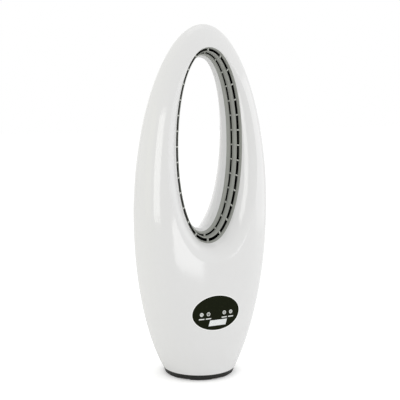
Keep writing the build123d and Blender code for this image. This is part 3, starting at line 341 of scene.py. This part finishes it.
KEY_ICONS = (icon_fan, icon_clock, icon_mode, icon_power)
for number, (x, icon) in enumerate(zip(KEY_SPOTS, KEY_ICONS), start=1):
    verts, faces = print_strokes([ring_line(x, KEY_HEIGHT, ICON_RADIUS)], ICON_STROKE)
    inner_verts, inner_faces = print_strokes(icon(x, KEY_HEIGHT), INNER_STROKE)
    faces += [tuple(len(verts) + v for v in face) for face in inner_faces]
    add_mesh(f"panel_symbol_{number}", verts + inner_verts, faces, PRINT_WHITE, "tower")
    label_z = KEY_HEIGHT - LABEL_DROP
    bar = line(x - LABEL_WIDTH / 2, label_z, x + LABEL_WIDTH / 2, label_z, LABEL_STEPS)
    verts, faces = print_strokes([bar], LABEL_THICKNESS)
    add_mesh(f"panel_bar_{number}", verts, faces, PRINT_WHITE, "tower")


# ---------------------------------------------------------------- painted highlight on the rim of the panel
shell_tree = BVHTree.FromObject(nodes["front_shell"], bpy.context.evaluated_depsgraph_get())
RIM_GAP = 0.0010                      # from the lens's edge to the middle of the pale rim, which is a painted highlight of the shell's edge
RIM_WIDTH = 0.0014
RIM_PROUD = 0.00012
RIM_SUNK = 0.00010
RIM_STEPS = 120
rim_across = PANEL_HALF_WIDTH + RIM_GAP
rim_tall = PANEL_HALF_HEIGHT + RIM_GAP
rim_turns = [2 * math.pi * k / RIM_STEPS for k in range(RIM_STEPS)]
rim_line = [(rim_across * math.cos(t), PANEL_HEIGHT + rim_tall * math.sin(t)) for t in rim_turns]
verts, faces = ribbon([(rim_line, True)], RIM_WIDTH, RIM_PROUD, RIM_SUNK, shell_tree)
# a near-white ribbon, paler than the shell: a painted highlight along the edge round the panel
rim_highlight_white = plastic("rim_highlight_white", (0.97, 0.97, 0.96), 0.2, shift=0.01)
add_mesh("panel_rim_highlight", verts, faces, rim_highlight_white, "tower")


# ---------------------------------------------------------------- pale faces on the band's ribs, a painted highlight
OVAL_POWER = 2.1                      # the loop's rim is an oval of this power
LOOP_HALF_WIDTH = 0.0619
LOOP_HALF_HEIGHT = 0.1640
LOOP_CENTRE = 0.3969
RISE = 2.6 / 17.9                     # how fast the ovals' centres rise as they shrink
RIB_COUNT = 28
RIB_HALF_WIDTH = 0.0010
RIB_INSET = 0.0042                    # the oval along which the ribs are equally spaced
RIB_STEPS = 1440                      # points on that oval from which the ribs' places are picked
RIB_PROUD = 0.00004
RIB_FACE_DEPTH = 0.0002
FRONT_SLOT = (0.0023, 0.0062)         # how far in from the rim each slot runs
REAR_SLOT = (0.0087, 0.0109)
FRONT_RIBS_Y = -0.0348
REAR_RIBS_Y = -0.0223
BOX_FACES = ((0, 1, 2, 3), (7, 6, 5, 4), (0, 4, 5, 1), (1, 5, 6, 2), (2, 6, 7, 3), (3, 7, 4, 0))


def oval_point(inset, turn):
    """Point of the loop's rim, drawn in by inset."""
    reach = []
    halves = (LOOP_HALF_WIDTH - inset, LOOP_HALF_HEIGHT - inset)
    for part, half in zip((math.cos(turn), math.sin(turn)), halves):
        reach.append(half * math.copysign(abs(part) ** (2 / OVAL_POWER), part))
    return Vector((reach[0], 0, LOOP_CENTRE + RISE * inset + reach[1]))


def rib_turns():
    """The turn of each rib round the loop, from the top, with equal runs between the ribs."""
    turns = [math.pi / 2 + 2 * math.pi * k / RIB_STEPS for k in range(RIB_STEPS + 1)]
    spots = [oval_point(RIB_INSET, turn) for turn in turns]
    run = [0.0]
    for k in range(RIB_STEPS):
        run.append(run[-1] + (spots[k + 1] - spots[k]).length)
    picked = []
    for rib in range(RIB_COUNT):
        goal = run[-1] * rib / RIB_COUNT
        nearest = min(range(RIB_STEPS), key=lambda k: abs(run[k] - goal))
        picked.append(turns[nearest])
    return picked


def rib_faces(name, inset_from, inset_to, front):
    """Thin pale faces on the fronts of one ring's ribs: a painted highlight where the ribs catch the light.
    """
    verts, faces = [], []
    for turn in rib_turns():
        start = oval_point(inset_from, turn)
        end = oval_point(inset_to, turn)
        along = (end - start).normalized()
        side = Vector((-along.z, 0, along.x)) * (RIB_HALF_WIDTH + RIB_PROUD)
        first = len(verts)
        for y in (front - RIB_PROUD, front - RIB_PROUD + RIB_FACE_DEPTH):
            for corner in (start + side, start - side, end - side, end + side):
                verts.append(Vector((corner.x, y, corner.z)))
        faces += [tuple(first + k for k in face) for face in BOX_FACES]
    add_mesh(name, verts, faces, rib_highlight_grey, "tower")


# a grey paler than the band's own: painted highlight on the ribs' fronts
rib_highlight_grey = plastic("rib_highlight_grey", (0.56, 0.57, 0.53), 0.4, shift=0.05)
rib_faces("rib_highlight_front", *FRONT_SLOT, FRONT_RIBS_Y)
rib_faces("rib_highlight_rear", *REAR_SLOT, REAR_RIBS_Y)


# ---------------------------------------------------------------- room and floor
ROOM_LIGHT = 0.92                     # what the pale room sheds on the fan from every side
ROOM_COLOUR = (1.0, 1.0, 0.995, 1)
BACKDROP_WHITE = (1, 1, 1, 1)
FLOOR_GREY = (0.92, 0.92, 0.92, 1)
FLOOR_LIFT = 0.27                     # brings the floor up to the backdrop's white
FLOOR_REACH = 9.0
FLOOR_DROP = 0.0002                   # keeps the floor just under the feet


def light_room():
    """A world that lights the fan softly, and shows white where the camera sees it."""
    world = bpy.data.worlds.new("world")
    bpy.context.scene.world = world
    world.use_nodes = True
    tree = world.node_tree
    tree.nodes.clear()
    output = tree.nodes.new("ShaderNodeOutputWorld")
    seen = tree.nodes.new("ShaderNodeBackground")
    seen.inputs["Color"].default_value = BACKDROP_WHITE
    seen.inputs["Strength"].default_value = 1.0
    lit = tree.nodes.new("ShaderNodeBackground")
    lit.inputs["Color"].default_value = ROOM_COLOUR
    lit.inputs["Strength"].default_value = ROOM_LIGHT
    path = tree.nodes.new("ShaderNodeLightPath")
    either = tree.nodes.new("ShaderNodeMath")
    either.operation = "MAXIMUM"
    tree.links.new(path.outputs["Is Camera Ray"], either.inputs[0])
    tree.links.new(path.outputs["Is Transmission Ray"], either.inputs[1])
    blend = tree.nodes.new("ShaderNodeMixShader")
    tree.links.new(either.outputs["Value"], blend.inputs["Fac"])
    tree.links.new(lit.outputs["Background"], blend.inputs[1])
    tree.links.new(seen.outputs["Background"], blend.inputs[2])
    tree.links.new(blend.outputs["Shader"], output.inputs["Surface"])


def floor_look():
    """Pale matt floor that takes the fan's shadow, lifted to white where the camera sees it."""
    material = bpy.data.materials.new("floor")
    material.use_nodes = True
    tree = material.node_tree
    tree.nodes.clear()
    output = tree.nodes.new("ShaderNodeOutputMaterial")
    diffuse = tree.nodes.new("ShaderNodeBsdfDiffuse")
    diffuse.inputs["Color"].default_value = FLOOR_GREY
    glow = tree.nodes.new("ShaderNodeEmission")
    path = tree.nodes.new("ShaderNodeLightPath")
    gate = tree.nodes.new("ShaderNodeMath")
    gate.operation = "MULTIPLY"
    gate.inputs[1].default_value = FLOOR_LIFT
    tree.links.new(path.outputs["Is Camera Ray"], gate.inputs[0])
    tree.links.new(gate.outputs["Value"], glow.inputs["Strength"])
    both = tree.nodes.new("ShaderNodeAddShader")
    tree.links.new(diffuse.outputs["BSDF"], both.inputs[0])
    tree.links.new(glow.outputs["Emission"], both.inputs[1])
    tree.links.new(both.outputs["Shader"], output.inputs["Surface"])
    return material


light_room()
floor_mesh = bpy.data.meshes.new("floor")
floor_corners = [(sx * FLOOR_REACH, sy * FLOOR_REACH, 0) for sx, sy in ((-1, -1), (1, -1), (1, 1), (-1, 1))]
floor_mesh.from_pydata(floor_corners, [], [(0, 1, 2, 3)])
floor_mesh.materials.append(floor_look())
floor = bpy.data.objects.new("floor", floor_mesh)
bpy.context.scene.collection.objects.link(floor)
floor.location.z = -FLOOR_DROP


# ---------------------------------------------------------------- lamps
def area_lamp(name, place, facing, width, height, radiance, diffuse_too=True, colour=(1, 1, 1)):
    """A rectangular lamp of an even radiance that the camera doesn't see."""
    light = bpy.data.lights.new(name, "AREA")
    light.shape = "RECTANGLE"
    light.size = width
    light.size_y = height
    light.energy = radiance * math.pi * width * height
    light.color = colour
    lamp = bpy.data.objects.new(name, light)
    bpy.context.scene.collection.objects.link(lamp)
    lamp.location = place
    lamp.rotation_euler = facing
    lamp.visible_diffuse = diffuse_too
    lamp.visible_camera = False


def softbox(name, bearing, reach, low, high, width, radiance, **options):
    """An upright lamp, `bearing` degrees to the right of the fan's front, facing the fan."""
    turn = math.radians(bearing)
    place = (reach * math.sin(turn), -reach * math.cos(turn), (low + high) / 2)
    facing = (math.pi / 2, 0, turn)
    area_lamp(name, place, facing, width, high - low, radiance, **options)


LEFT_STRIP_COLOUR = (1.0, 1.0, 0.98)
LEFT_FILL_COLOUR = (0.98, 1.0, 0.50)
TOP_BOX_HEIGHT = 2.1
TOP_BOX_SIDE = 1.0
STRAIGHT_DOWN = (0, 0, 0)

softbox("left_strip", bearing=-48, reach=1.60, low=0.07, high=1.00, width=0.72, radiance=3.1,
        diffuse_too=False, colour=LEFT_STRIP_COLOUR)
softbox("front_low_box", bearing=5, reach=0.78, low=0.03, high=0.36, width=0.42, radiance=3.0,
        diffuse_too=False)
softbox("left_fill", bearing=-95, reach=1.60, low=0.05, high=1.05, width=1.00, radiance=0.28,
        colour=LEFT_FILL_COLOUR)
softbox("right_box", bearing=80, reach=1.50, low=0.02, high=0.95, width=1.10, radiance=0.75)
softbox("back_box", bearing=170, reach=1.80, low=0.10, high=1.10, width=1.20, radiance=0.25)
area_lamp("top_box", (0, 0, TOP_BOX_HEIGHT), STRAIGHT_DOWN, TOP_BOX_SIDE, TOP_BOX_SIDE, radiance=0.6)

bpy.context.scene.view_settings.view_transform = "Standard"
